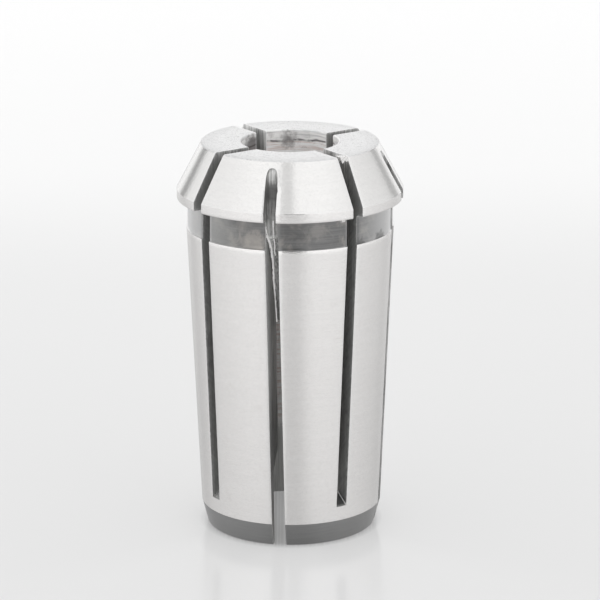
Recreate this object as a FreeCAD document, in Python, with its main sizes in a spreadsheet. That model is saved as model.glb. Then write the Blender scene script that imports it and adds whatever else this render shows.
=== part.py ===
import FreeCAD, Part
import os

import Sketcher

# Spring collet, turned from one bar of spring steel, hardened and ground, in millimetres.
# It stands on its tail with the nose up. The origin is the centre of the tail face and
# +Z runs along the bore. Saws slit it from both ends in turn, so that the long jaws
# between the slots bend and the bore closes evenly on the tool.

SIZES = (
    ("overall_length", 61.3, "tail face to nose face"),
    ("head_diameter", 35.0, "cylindrical rim under the nose cone"),
    ("cone_length", 7.25, "height of the nose cone"),
    ("cone_angle", 28.0, "slope of the nose cone, in degrees from the axis"),
    ("rim_length", 1.5, "height of the rim"),
    ("groove_length", 4.5, "height of the groove that the nut pulls on"),
    ("groove_depth", 1.65, "how far that groove lies inside the rim"),
    ("seat_step", 0.2, "how far the ground taper stands out past that groove"),
    ("taper_angle", 2.52, "slope of the ground taper, in degrees from the axis"),
    ("tail_band_length", 3.7, "height of the steep band at the tail"),
    ("tail_band_angle", 14.4, "slope of that band, in degrees from the axis"),
    ("tail_wall", 1.15, "wall round the relief at the tail face"),
    ("bore_diameter", 15.0, "gripping bore"),
    ("relief_length", 14.2, "tail face to the lower end of the grip"),
    ("shoulder_length", 2.6, "height of the coned shoulder between relief and grip"),
    ("bore_mouth_break", 0.15, "chamfer at the mouth of the grip"),
    ("relief_mouth_break", 0.3, "chamfer at the mouth of the relief"),
    ("nose_edge_break", 0.15, "chamfer round the nose face"),
    ("tail_edge_break", 0.2, "chamfer round the tail face"),
    ("rim_edge_radius", 0.25, "both edges of the rim"),
    ("groove_corner_radius", 0.4, "corner under the rim"),
    ("slot_count", 4, "slots in each of the two sets"),
    ("saw_diameter", 63.0, "saw that cuts both sets of slots"),
    ("nose_slot_width", 1.8, "slots sawn down from the nose"),
    ("nose_slot_end", 6.0, "tail face to the lower end of those slots"),
    ("nose_saw_overcut", 7.5, "how far that saw runs in past the wall of the grip"),
    ("tail_slot_width", 2.0, "slots sawn up from the tail"),
    ("tail_saw_overcut", 0.5, "how far that saw runs in past the wall of the grip"),
    ("deep_cut_below_nose", 32.2, "nose face to the saw's axle at the end of its deep cut"),
    ("tail_tip_width", 1.8, "the same slots over the head, cut with a round-edged saw"),
    ("shallow_cut_below_nose", 5.6, "nose face to the axle in the shallow cut over the head"),
    ("tail_slot_below_nose", 1.0, "nose face to the tip of those slots on the cone"),
    ("saw_clearance", 1.5, "how far every cut runs out past the rim"),
)

# Heights that several features share, written in terms of the sizes above.
RIM_TOP = "Sizes.overall_length - Sizes.cone_length"
RIM_FOOT = RIM_TOP + " - Sizes.rim_length"
TAPER_TOP = RIM_FOOT + " - Sizes.groove_length"
TAPER_HEIGHT = "(" + TAPER_TOP + " - Sizes.tail_band_length)"

# Radii. The outside follows from the head and the slopes, the relief from the wall round it.
HEAD = "Sizes.head_diameter / 2"
NOSE = HEAD + " - Sizes.cone_length * tan(Sizes.cone_angle)"
GROOVE = HEAD + " - Sizes.groove_depth"
SEAT_TOP = GROOVE + " + Sizes.seat_step"
SEAT_FOOT = SEAT_TOP + " - " + TAPER_HEIGHT + " * tan(Sizes.taper_angle)"
TAIL = SEAT_FOOT + " - Sizes.tail_band_length * tan(Sizes.tail_band_angle)"
RELIEF = TAIL + " - Sizes.tail_wall"
BORE = "Sizes.bore_diameter / 2"
SAW = "Sizes.saw_diameter / 2"
OUTSIDE = HEAD + " + Sizes.saw_clearance"


def make_sheet(doc):
    """One row for each driving size: its value, its name and what it measures."""
    sheet = doc.addObject("Spreadsheet::Sheet", "Sizes")
    for row, (alias, value, meaning) in enumerate(SIZES, start=1):
        sheet.set("A%d" % row, str(value))
        sheet.setAlias("A%d" % row, alias)
        sheet.set("B%d" % row, meaning)
    doc.recompute()


def origin_part(body, role):
    """A plane or axis of the body's own origin."""
    return next(item for item in body.Origin.OriginFeatures if item.Role == role)


def new_sketch(body, name, role, turn, height="0"):
    """A sketch on an origin plane, raised along the collet's axis and turned about it."""
    sketch = body.newObject("Sketcher::SketchObject", name)
    sketch.AttachmentSupport = [(origin_part(body, role), "")]
    sketch.MapMode = "FlatFace"
    upward = FreeCAD.Vector(0, 0, 1) if role == "XY_Plane" else FreeCAD.Vector(0, 1, 0)
    sketch.AttachmentOffset = FreeCAD.Placement(FreeCAD.Vector(), FreeCAD.Rotation(upward, 1))
    sketch.setExpression(".AttachmentOffset.Rotation.Angle", turn)
    sketch.setExpression(".AttachmentOffset.Base.z", height)
    body.Document.recompute()
    return sketch


def drive(sketch, kind, geometry, vertex, name, expression):
    """Hold one coordinate of a vertex, measured from the origin, at a named distance."""
    start = sketch.evalExpression(expression)
    index = sketch.addConstraint(Sketcher.Constraint(kind, -1, 1, geometry, vertex, start))
    sketch.renameConstraint(index, name)
    sketch.setExpression("Constraints." + name, expression)


def place(sketch, corner):
    """Where a corner's two expressions put it."""
    name, across, up = corner
    return FreeCAD.Vector(sketch.evalExpression(across), sketch.evalExpression(up), 0)


def draw_polygon(sketch, corners):
    """A closed outline through named corners, each given as (name, across, up)."""
    count = len(corners)
    points = [place(sketch, corner) for corner in corners]
    for index in range(count):
        sketch.addGeometry(Part.LineSegment(points[index], points[(index + 1) % count]), False)
    for index in range(count):
        sketch.addConstraint(Sketcher.Constraint("Coincident", index, 2, (index + 1) % count, 1))
    for index, (name, across, up) in enumerate(corners):
        drive(sketch, "DistanceX", index, 1, name + "_across", across)
        drive(sketch, "DistanceY", index, 1, name + "_up", up)


def finish(body, feature):
    """Make a feature the body's tip and work it out."""
    body.Tip = feature
    body.Document.recompute()
    return feature


def check_cut(before, feature):
    """A cut that meets no material is an error."""
    if feature.Shape.Volume >= before - 1e-6:
        raise RuntimeError(feature.Name + " removes nothing")


def round_corner(sketch, index, name, radius):
    """Round one corner of an outline. Its sizes stay on the corner where the lines would meet."""
    arc = sketch.GeometryCount
    size = sketch.evalExpression(radius)
    sketch.fillet(index, 1, size, True, True)
    held = sketch.addConstraint(Sketcher.Constraint("Radius", arc, size))
    sketch.renameConstraint(held, name + "_radius")
    sketch.setExpression("Constraints." + name + "_radius", radius)


def cone_radius(depth):
    """Radius of the nose cone at a depth under the nose face."""
    return NOSE + " + " + depth + " * tan(Sizes.cone_angle)"


def tail_radius(height):
    """Radius of the steep band at a height above the tail face."""
    return TAIL + " + " + height + " * tan(Sizes.tail_band_angle)"


def turn_blank(body):
    """The turned and bored blank, as one section revolved about the bore's axis.

    The section stands in the middle of a jaw, clear of every slot.
    """
    sketch = new_sketch(body, "Section", "XZ_Plane", "90 / Sizes.slot_count")
    corners = (
        ("grip_top", BORE, "Sizes.overall_length - Sizes.bore_mouth_break"),
        ("bore_mouth", BORE + " + Sizes.bore_mouth_break", "Sizes.overall_length"),
        ("nose_inner", NOSE + " - Sizes.nose_edge_break", "Sizes.overall_length"),
        ("nose_outer", cone_radius("Sizes.nose_edge_break"),
         "Sizes.overall_length - Sizes.nose_edge_break"),
        ("rim_top", HEAD, RIM_TOP),
        ("rim_foot", HEAD, RIM_FOOT),
        ("groove_top", GROOVE, RIM_FOOT),
        ("groove_foot", GROOVE, TAPER_TOP),
        ("taper_top", SEAT_TOP, TAPER_TOP),
        ("taper_foot", SEAT_FOOT, "Sizes.tail_band_length"),
        ("tail_outer", tail_radius("Sizes.tail_edge_break"), "Sizes.tail_edge_break"),
        ("tail_inner", TAIL + " - Sizes.tail_edge_break", "0"),
        ("relief_mouth", RELIEF + " + Sizes.relief_mouth_break", "0"),
        ("relief_foot", RELIEF, "Sizes.relief_mouth_break"),
        ("relief_top", RELIEF, "Sizes.relief_length - Sizes.shoulder_length"),
        ("grip_foot", BORE, "Sizes.relief_length"),
    )
    draw_polygon(sketch, corners)
    rounds = {
        "rim_top": "Sizes.rim_edge_radius",
        "rim_foot": "Sizes.rim_edge_radius",
        "groove_top": "Sizes.groove_corner_radius",
    }
    for index, (name, across, up) in enumerate(corners):
        if name in rounds:
            round_corner(sketch, index, name, rounds[name])
    blank = body.newObject("PartDesign::Revolution", "Blank")
    blank.Profile = sketch
    blank.ReferenceAxis = (sketch, ["V_Axis"])
    blank.Angle = 360
    return finish(body, blank)


def saw_run(body, name, reach, width, height, turn, upwards):
    """The straight part of a slot: from the saw's last axle height out through one end."""
    sketch = new_sketch(body, name + "Sketch", "XY_Plane", turn, height)
    half = width + " / 2"
    draw_polygon(sketch, (
        ("inner_right", reach, "-" + half),
        ("outer_right", OUTSIDE, "-" + half),
        ("outer_left", OUTSIDE, half),
        ("inner_left", reach, half),
    ))
    before = body.Tip.Shape.Volume
    run = body.newObject("PartDesign::Pocket", name)
    run.Profile = sketch
    run.Type = "ThroughAll"
    run.Reversed = upwards
    finish(body, run)
    check_cut(before, run)
    return run


def saw_disc(body, name, reach, width, height, turn, round_edge, way):
    """The end of a slot: the shape of the saw itself, revolved about its axle.

    Only the quarter of the saw above the axle, below it or level with it is needed.
    """
    sketch = new_sketch(body, name + "Sketch", "XY_Plane", turn, height)
    half = width + " / 2"
    axle = reach + " + " + SAW
    shoulder = reach + " + " + half if round_edge else reach
    draw_polygon(sketch, (
        ("rim_right", shoulder, "-" + half),
        ("axle_right", axle, "-" + half),
        ("axle_left", axle, half),
        ("rim_left", shoulder, half),
    ))
    if round_edge:
        round_the_rim(sketch, reach, half)
    before = body.Tip.Shape.Volume
    disc = body.newObject("PartDesign::Groove", name)
    disc.Profile = sketch
    disc.ReferenceAxis = (sketch, ["Edge2"])
    disc.Angle = 90
    disc.Midplane = way == "level"
    disc.Reversed = way == "below"
    finish(body, disc)
    check_cut(before, disc)
    return disc


def round_the_rim(sketch, reach, half):
    """Swap the saw's flat rim, the outline's last line, for a half circle."""
    sketch.toggleConstruction(3)
    right, left = sketch.getPoint(0, 1), sketch.getPoint(3, 1)
    crest = FreeCAD.Vector(sketch.evalExpression(reach), 0, 0)
    arc = sketch.addGeometry(Part.Arc(right, crest, left), False)
    low, high = (1, 2) if (sketch.getPoint(arc, 1) - right).Length < 1e-6 else (2, 1)
    sketch.addConstraint(Sketcher.Constraint("Coincident", arc, low, 0, 1))
    sketch.addConstraint(Sketcher.Constraint("Coincident", arc, high, 3, 1))
    sketch.addConstraint(Sketcher.Constraint("PointOnObject", arc, 3, 3))


def repeat(body, name, originals):
    """The same slot again, evenly round the collet."""
    before = body.Tip.Shape.Volume
    pattern = body.newObject("PartDesign::PolarPattern", name)
    pattern.Originals = originals
    pattern.Axis = (origin_part(body, "Z_Axis"), [""])
    pattern.Angle = 360
    pattern.setExpression("Occurrences", "Sizes.slot_count")
    finish(body, pattern)
    check_cut(before, pattern)
    return pattern


def saw_nose_slots(body):
    """Slots from the nose down, each midway between two of the other set.

    The saw stops with its rim just above the tail, so that a slot's floor slopes
    up from the taper to the bore in the curve of the saw.
    """
    reach = BORE + " - Sizes.nose_saw_overcut"
    height = "Sizes.nose_slot_end + sqrt((%s)^2 - (%s + %s - (%s))^2)" % (
        SAW, SAW, reach, SEAT_FOOT)
    turn = "180 / Sizes.slot_count"
    width = "Sizes.nose_slot_width"
    run = saw_run(body, "NoseRun", reach, width, height, turn, upwards=True)
    disc = saw_disc(body, "NoseRunOut", reach, width, height, turn, round_edge=False, way="below")
    return repeat(body, "NoseSlots", [run, disc])


def saw_tail_slots(body):
    """Slots from the tail up, stopped inside the head so that the nose face stays whole there.

    The deep cut ends under the rim. The saw is then backed out, and a shallow second
    cut carries the slot over the rim and up the cone to a rounded tip.
    """
    width = "Sizes.tail_slot_width"
    deep_reach = BORE + " - Sizes.tail_saw_overcut"
    deep_height = "Sizes.overall_length - Sizes.deep_cut_below_nose"
    run = saw_run(body, "TailRun", deep_reach, width, deep_height, "0", upwards=False)
    deep = saw_disc(body, "TailDeepCut", deep_reach, width, deep_height, "0",
                    round_edge=False, way="above")

    tip_radius = cone_radius("Sizes.tail_slot_below_nose")
    tip_rise = "(Sizes.shallow_cut_below_nose - Sizes.tail_slot_below_nose)"
    shallow_reach = "%s + sqrt((%s)^2 - %s^2) - %s" % (tip_radius, SAW, tip_rise, SAW)
    shallow_height = "Sizes.overall_length - Sizes.shallow_cut_below_nose"
    shallow = saw_disc(body, "TailShallowCut", shallow_reach, "Sizes.tail_tip_width",
                       shallow_height, "0", round_edge=True, way="level")
    return repeat(body, "TailSlots", [run, deep, shallow])


def make_collet(doc):
    """The whole collet as one body."""
    body = doc.addObject("PartDesign::Body", "Collet")
    body.Label = "collet"
    turn_blank(body)
    saw_nose_slots(body)
    saw_tail_slots(body)
    return body


def check_model(doc, bodies):
    """Every object worked out, and every body one closed solid."""
    for item in doc.Objects:
        if "Invalid" in item.State or "Error" in item.State:
            raise RuntimeError(item.Name + " did not work out")
    for body in bodies:
        shape = body.Shape
        if shape.isNull() or not shape.isValid() or len(shape.Solids) != 1:
            raise RuntimeError(body.Label + " is not one sound solid")


def write_parts(bodies):
    """One STEP file for each body, named by its label."""
    os.makedirs("parts", exist_ok=True)
    for body in bodies:
        body.Shape.exportStep("parts/%s.step" % body.Label)
        print(body.Label, "volume", round(body.Shape.Volume, 3), "box", body.Shape.BoundBox)


document = FreeCAD.newDocument("SpringCollet")
make_sheet(document)
collet = make_collet(document)
check_model(document, [collet])
write_parts([collet])
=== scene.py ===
import math

import bmesh
import bpy
from mathutils import Matrix, Vector, geometry, noise


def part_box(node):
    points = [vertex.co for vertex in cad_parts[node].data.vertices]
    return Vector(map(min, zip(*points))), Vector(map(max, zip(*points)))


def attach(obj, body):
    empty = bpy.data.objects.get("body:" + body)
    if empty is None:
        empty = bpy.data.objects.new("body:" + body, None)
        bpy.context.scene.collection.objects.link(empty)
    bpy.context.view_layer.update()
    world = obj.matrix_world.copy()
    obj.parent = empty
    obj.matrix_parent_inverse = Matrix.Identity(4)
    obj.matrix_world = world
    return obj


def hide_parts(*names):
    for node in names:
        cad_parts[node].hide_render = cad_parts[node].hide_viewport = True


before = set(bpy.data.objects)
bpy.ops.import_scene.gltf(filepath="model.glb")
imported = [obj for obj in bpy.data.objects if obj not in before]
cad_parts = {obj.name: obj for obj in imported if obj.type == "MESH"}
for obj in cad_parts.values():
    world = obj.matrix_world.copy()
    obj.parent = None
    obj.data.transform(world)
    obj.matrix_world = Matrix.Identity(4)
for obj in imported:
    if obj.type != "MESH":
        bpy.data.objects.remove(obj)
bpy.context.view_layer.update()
mm = 0.001

# The turned blank
# One bar of spring steel, turned and bored, then hardened. The taper, the rim and the nose
# cone are ground bright afterwards; the groove and the tail band keep their dark skin.
# Heights run up from the tail face, radii out from the bore's axis.
nose_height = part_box("collet")[1].z
head_radius = 17.49 * mm
cone_height = 7.25 * mm
cone_slope = math.tan(math.radians(28.0))
rim_height = 1.5 * mm
groove_height = 4.5 * mm
groove_depth = 1.64 * mm
seat_step = 0.2 * mm
taper_slope = math.tan(math.radians(2.52))
band_height = 3.7 * mm
band_slope = math.tan(math.radians(14.4))
tail_wall = 1.15 * mm
bore_radius = 7.5 * mm
relief_height = 14.2 * mm
shoulder_height = 2.6 * mm
mouth_break = 0.15 * mm
relief_break = 0.3 * mm
nose_break = 0.15 * mm
tail_break = 0.2 * mm

rim_top = nose_height - cone_height
rim_foot = rim_top - rim_height
taper_top = rim_foot - groove_height
groove_radius = head_radius - groove_depth
seat_top_radius = groove_radius + seat_step
seat_foot_radius = seat_top_radius - (taper_top - band_height) * taper_slope
tail_radius = seat_foot_radius - band_height * band_slope
relief_radius = tail_radius - tail_wall
nose_radius = head_radius - cone_height * cone_slope

FINISHES = ("tail", "ground", "groove", "cone", "nose face", "bore", "relief", "sawn")
sharp = 0.08 * mm

# Each corner of the section: radius, height, the radius that breaks it, the finish of the
# stretch that starts there, and how far apart that stretch's rings lie.
section = (
    (relief_radius + relief_break, 0.0, sharp, "tail", 0.3 * mm),
    (tail_radius - tail_break, 0.0, sharp, "tail", 0.1 * mm),
    (tail_radius + tail_break * band_slope, tail_break, sharp, "tail", 0.5 * mm),
    (seat_foot_radius, band_height, sharp, "ground", 0.7 * mm),
    (seat_top_radius, taper_top, sharp, "groove", 0.1 * mm),
    (groove_radius, taper_top, sharp, "groove", 0.5 * mm),
    (groove_radius, rim_foot, 0.4 * mm, "groove", 0.3 * mm),
    (head_radius, rim_foot, 0.22 * mm, "ground", 0.3 * mm),
    (head_radius, rim_top, 0.22 * mm, "cone", 0.5 * mm),
    (nose_radius + nose_break * cone_slope, nose_height - nose_break, sharp, "nose face", 0.1 * mm),
    (nose_radius - nose_break, nose_height, sharp, "nose face", 0.5 * mm),
    (bore_radius + mouth_break, nose_height, sharp, "bore", 0.1 * mm),
    (bore_radius, nose_height - mouth_break, sharp, "bore", 0.9 * mm),
    (bore_radius, relief_height, 0.15 * mm, "bore", 0.6 * mm),
    (relief_radius, relief_height - shoulder_height, 0.3 * mm, "relief", 0.9 * mm),
    (relief_radius, relief_break, sharp, "relief", 0.1 * mm),
)


def broken_corner(before, corner, after, radius, steps):
    """The small arc that stands in for a corner of the section."""
    into = (Vector(before) - Vector(corner)).normalized()
    away = (Vector(after) - Vector(corner)).normalized()
    half = into.angle(away) / 2
    setback = radius / math.tan(half)
    centre = Vector(corner) + (into + away).normalized() * radius / math.sin(half)
    start = Vector(corner) + into * setback - centre
    sweep = start.angle_signed(Vector(corner) + away * setback - centre)
    return [centre + Matrix.Rotation(-sweep * i / steps, 2) @ start for i in range(steps + 1)]


def trace_section():
    """The whole section as points (radius, height, finish of what follows)."""
    points = []
    count = len(section)
    for i, (radius, height, rounding, finish, spacing) in enumerate(section):
        before = section[i - 1]
        after = section[(i + 1) % count]
        steps = 4 if rounding > sharp else 2
        arc = broken_corner(before[:2], (radius, height), after[:2], rounding, steps)
        points += [(p.x, p.y, finish) for p in arc]
        following = section[(i + 2) % count]
        next_arc = broken_corner((radius, height), after[:2], following[:2], after[2], 1)
        run = next_arc[0] - arc[-1]
        pieces = max(1, round(run.length / spacing))
        for step in range(1, pieces):
            p = arc[-1] + run * step / pieces
            points.append((p.x, p.y, finish))
    return points


# The slots
# Saws slit the blank from both ends in turn, so that the jaws bend and the bore closes evenly.
# They were set by eye: each slot leans a little, and none is quite evenly spaced.
saw_radius = 31.5 * mm
nose_slot_half = 0.9 * mm
tail_slot_half = 1.02 * mm
tip_half = 0.93 * mm
tip_crown = 1.5 * mm
crown_power = 0.58
bend_start = 48.0 * mm
nose_slot_end = 6.0 * mm


def saw_arc(distance):
    """How far the saw's rim reaches past its axle, at a distance along from the axle."""
    return math.sqrt(saw_radius ** 2 - distance ** 2)


nose_saw_axle = nose_slot_end + saw_arc(saw_radius - seat_foot_radius)
deep_axle_radius = bore_radius - 0.5 * mm + saw_radius
deep_axle_height = nose_height - 32.2 * mm
shallow_axle_height = nose_height - 5.6 * mm
tip_height = nose_height - 1.0 * mm
tip_radius = head_radius - (tip_height - rim_top) * cone_slope
shallow_axle_radius = tip_radius + saw_arc(tip_height - shallow_axle_height)


class Slot:
    """One saw cut: its direction from the front, which end it was sawn from, and its lean."""

    def __init__(self, azimuth, kind, half, shift, lean, bend=0.0):
        self.azimuth = math.radians(azimuth)
        self.kind = kind
        self.half = half
        self.shift = shift
        self.lean = lean
        self.bend = bend

    def offset(self, height):
        """How far the cut has wandered to the side at a height."""
        above = max(height - bend_start, 0.0) / (nose_height - bend_start)
        return self.shift + self.lean * (height - nose_height / 2) + self.bend * above ** 2

    def place(self, radius, across, height):
        """A point at a radius and a distance to the side of the slot's own plane."""
        along = math.sqrt(max(radius ** 2 - across ** 2, 0.0))
        side, ahead = math.cos(self.azimuth), math.sin(self.azimuth)
        return Vector((along * ahead + across * side, across * ahead - along * side, height))


slots = (
    Slot(0, "tail", tail_slot_half, 0.10 * mm, -0.0111),
    Slot(45, "nose", nose_slot_half, -0.12 * mm, 0.0146, -0.30 * mm),
    Slot(90, "tail", tail_slot_half, 0.02 * mm, 0.004, -0.7 * mm),
    Slot(135, "nose", nose_slot_half, 0.05 * mm, -0.006),
    Slot(180, "tail", tail_slot_half, -0.03 * mm, 0.007),
    Slot(225, "nose", nose_slot_half, -0.04 * mm, 0.008),
    Slot(270, "tail", tail_slot_half, 0.03 * mm, -0.005),
    Slot(315, "nose", nose_slot_half + 0.06 * mm, 0.03 * mm, 0.0118, 0.40 * mm),
)
tail_bends = 12
nose_bends = 4
nose_spread = [-1 + 2 * j / nose_bends for j in range(nose_bends + 1)]


def deep_floor(radius):
    """Height of the deep cut's floor at a radius."""
    return deep_axle_height + saw_arc(deep_axle_radius - radius)


def deep_reach(height):
    """Radius of the deep cut's floor at a height."""
    return deep_axle_radius - saw_arc(height - deep_axle_height)


def shallow_floor(height):
    """Radius of the shallow cut's floor, down its middle, at a height."""
    return shallow_axle_radius - saw_arc(height - shallow_axle_height)


def nose_floor(radius):
    """Height of a nose slot's floor at a radius."""
    return nose_saw_axle - saw_arc(saw_radius - radius)


def ease(value, start, end):
    """A smooth step from 0 at the start to 1 at the end."""
    t = min(max((value - start) / (end - start), 0.0), 1.0)
    return t * t * (3 - 2 * t)


def tail_half(height):
    """Half the width of a tail slot: the shallow cut's saw was a little thinner."""
    return tail_slot_half + (tip_half - tail_slot_half) * ease(height, 48.5 * mm, 51.0 * mm)


def half_at(slot, height):
    """Half the width of either kind of slot at a height."""
    return slot.half if slot.kind == "nose" else tail_half(height)


def bisect(reach, low, high):
    """The value between low and high where reach changes sign."""
    rising = reach(high) > 0
    for _ in range(60):
        middle = (low + high) / 2
        if (reach(middle) > 0) == rising:
            high = middle
        else:
            low = middle
    return (low + high) / 2


def cone_radius(height):
    """Radius of the nose cone at a height."""
    return head_radius - (height - rim_top) * cone_slope


def crown_across(turn):
    """Place across the cut's floor, from -1 to 1: nearly flat, with its corners rounded."""
    return math.copysign(abs(math.sin(turn)) ** crown_power, turn)


def crown_rise(turn):
    """How much further out the floor lies there than down its middle."""
    return tip_crown * (1 - math.cos(turn))


def tip_exit(turn):
    """Height where the floor, at one turn across it, comes out through the cone."""
    rise = crown_rise(turn)
    across = tip_half * crown_across(turn)
    return bisect(
        lambda z: math.hypot(shallow_floor(z) + rise, across) - cone_radius(z), 56 * mm, 60.5 * mm)


turns = [math.radians(-90 + 180 * j / tail_bends) for j in range(tail_bends + 1)]
exits = [tip_exit(turn) for turn in turns[:tail_bends // 2 + 1]]
bore_exit = deep_floor(bore_radius)
relief_exit = nose_floor(relief_radius)
nose_exit = nose_floor(seat_foot_radius + (nose_slot_end - band_height) * taper_slope)


class Ring:
    """One ring of the section: radius, height, outward normal and the finish above it."""

    def __init__(self, radius, height, finish):
        self.radius = radius
        self.height = height
        self.finish = finish
        self.normal = None
        self.run = 0.0


def outer_side(ring):
    """True for a ring on the outside of the collet."""
    past_relief = ring.radius > relief_radius + relief_break * 1.01
    return past_relief and ring.height < nose_height - nose_break * 0.5


def make_rings():
    """The section's rings, with one at every height where a slot starts or ends."""
    rings = [Ring(*point) for point in trace_section()]

    def clear(low, high, outside):
        """Take out the rings between two heights."""
        rings[:] = [r for r in rings
                    if outer_side(r) != outside or not low < r.height < high]

    def add(height, outside):
        """Put a ring in at a height."""
        for i in range(len(rings) - 1):
            a, b = rings[i], rings[i + 1]
            if outer_side(a) != outside or outer_side(b) != outside:
                continue
            if min(a.height, b.height) < height < max(a.height, b.height):
                t = (height - a.height) / (b.height - a.height)
                ring = Ring(a.radius + (b.radius - a.radius) * t, height, a.finish)
                rings.insert(i + 1, ring)
                return
        raise RuntimeError("no ring spans height %g" % height)

    clear(exits[0] - 0.3 * mm, exits[-1] + 0.2 * mm, True)
    for height in exits:
        add(height, True)
    for height, outside in ((nose_exit, True), (bore_exit, False), (relief_exit, False)):
        clear(height - 0.35 * mm, height + 0.35 * mm, outside)
        add(height, outside)
        for step in (0.1, 0.25):
            add(height + step * mm, outside)
            add(height - step * mm, outside)
    for i, ring in enumerate(rings):
        a, b = rings[i - 1], rings[(i + 1) % len(rings)]
        along = Vector((b.radius - a.radius, b.height - a.height)).normalized()
        ring.normal = Vector((along.y, -along.x))
        back = Vector((ring.radius - a.radius, ring.height - a.height)).length
        ring.run = rings[i - 1].run + back if i else 0.0
    return rings


rings = make_rings()


def find_ring(height, outside):
    """The number of the ring at a height."""
    return min((i for i, r in enumerate(rings) if outer_side(r) == outside),
               key=lambda i: abs(rings[i].height - height))


nose_start = find_ring(nose_exit, True)
nose_stop = find_ring(relief_exit, False)
tail_start = find_ring(bore_exit, False)
tip_rings = [find_ring(height, True) for height in exits]
tail_stop = tip_rings[-1]
mouth_ring = find_ring(nose_height - mouth_break, False)

edge_break = 0.06 * mm
edge_fade = 0.3 * mm


def is_open(slot, i):
    """True where the slot passes right through the wall at a ring."""
    if slot.kind == "nose":
        return nose_start < i < nose_stop
    return i > tail_start or i < tail_stop


def distance_to_end(slot, i):
    """How far a ring is, along the section, from where its slot ends."""
    here = rings[i].run
    if slot.kind == "nose":
        return min(abs(here - rings[nose_start].run), abs(rings[nose_stop].run - here))
    if i > tail_start:
        return here - rings[tail_start].run
    return max(rings[tip_rings[0]].run - here, 0.0)


def half_width(slot, i):
    """Half the slot's width at a ring. Past the tip it is only a seam that widens to the bore."""
    ring = rings[i]
    if slot.kind == "nose":
        return slot.half
    if i in tip_rings:
        return tip_half * abs(crown_across(turns[tip_rings.index(i)]))
    if tail_stop < i <= tail_start:
        opened = (ring.run - rings[tail_stop].run) / (rings[mouth_ring].run - rings[tail_stop].run)
        return tail_half(bore_exit) * min(opened, 1.0)
    return tail_half(ring.height)


def sawn_wander(slot, side, radius, height):
    """How far the sawn wall strays from flat: long waves and finer chatter."""
    seed = 10 * slots.index(slot) + 3 * side
    slow = noise.noise(Vector((radius * 60, height * 45, seed)))
    arc = math.hypot(radius - deep_axle_radius, height - deep_axle_height)
    chatter = noise.noise(Vector((arc * 900, height * 60, seed + 5)))
    return slow * 0.03 * mm + chatter * 0.012 * mm


def torn(slot, side, height):
    """Where the thin saw tore a slot's edge near its tip, the wall stands back a little."""
    if slot.kind == "nose" or side < 0:
        return 0.0
    z = height / mm
    nibble = 0.7 + 0.9 * noise.noise(Vector((z * 2.2, slot.azimuth, 3.0)))
    return 0.26 * mm * ease(z, 56.9, 57.3) * ease(z, 60.2, 59.2) * nibble


def floor_painted_light_shade_and_wear(slot, across, height):
    """How bright a slot's floor is: painted light at the tip, under the rim and over the floor below
    it, painted shade in a dip below the tip, steel worn bright by the saw in two long strips below
    the rim, and painted shade over the nose slots' floors but one, which gets painted light.
    """
    if slot.kind == "nose":
        # Painted shade over the nose slots' floors, and painted light over the front-left one.
        return 0.4 if slots.index(slot) == 7 else -1.0
    z = height / mm
    dulled = 0.45 * ease(abs(across + 0.1), 0.2, 0.8) * ease(z, 59.9, 59.0)
    tip = ease(z, 57.0, 58.8) * (1.0 - dulled)
    landing_light = 0.42 * ease(z, 55.8, 54.9) * ease(z, 52.4, 53.2) * ease(across, 0.5, -0.3)
    streak_place = -0.52 - 0.43 * ease(z, 49.2, 51.4)
    streak = ease(abs(across - streak_place), 0.34, 0.10)
    streak *= ease(z, 53.0, 51.5) * ease(z, 35.0, 40.0)
    core = 0.5 * ease(abs(across), 0.4, 0.0) * ease(z, 52.6, 51.8) * ease(z, 46.5, 48.5)
    # Painted shade in a dip below the tip.
    hollow_shade = -0.25 * ease(z, 54.6, 55.6) * ease(z, 58.0, 57.0)
    return max(tip, landing_light, streak, core, 0.4 * ease(z, 54.0, 51.5)) + hollow_shade


def wall_painted_light_and_wear(slot, side, radius, height):
    """The same for a wall. Tail slots' walls are streaked, with painted light down their left walls,
    brightest under the rim and near the bore; nose slots' walls take painted light near the face and
    the bore, and one is torn bright where it breaks out.
    """
    z = height / mm
    if slot.kind == "nose":
        corner = ease(z, 59.6, 60.7) * ease(radius / mm, 9.5, 11.0)
        mouth = ease(z, 55.0, 60.0) * ease(radius / mm, 10.0, 8.0)
        if slots.index(slot) in (1, 5):
            return corner + 0.8 * mouth
        return 0.35 * corner + 0.15 * mouth
    if side < 0:
        landing_light = 1.3 * ease(z, 51.0, 51.8) * ease(z, 54.8, 54.0)
        landing_light *= ease(radius / mm, 16.6, 15.4)
        below = 0.85 * ease(z, 14.0, 30.0) * ease(z, 51.8, 51.0)
        return max(landing_light, below) + 0.3 * ease(radius / mm, 9.2, 7.6) * ease(z, 20.0, 24.0)
    return 0.45


vertices = []
faces = []
face_finish = []
edge_wear_and_highlight = []
painted_light_shade_and_wear = []


def put(point, wear_and_highlight=0.0, bright=0.0):
    """Keep a vertex and give its number."""
    vertices.append(point)
    edge_wear_and_highlight.append(wear_and_highlight)
    painted_light_shade_and_wear.append(bright)
    return len(vertices) - 1


def face(finish, *corners):
    """Keep a face, leaving out corners that have run together."""
    loop = [c for i, c in enumerate(corners) if c != corners[i - 1]]
    if len(loop) > 2:
        faces.append(loop)
        face_finish.append(FINISHES.index(finish))


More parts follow.
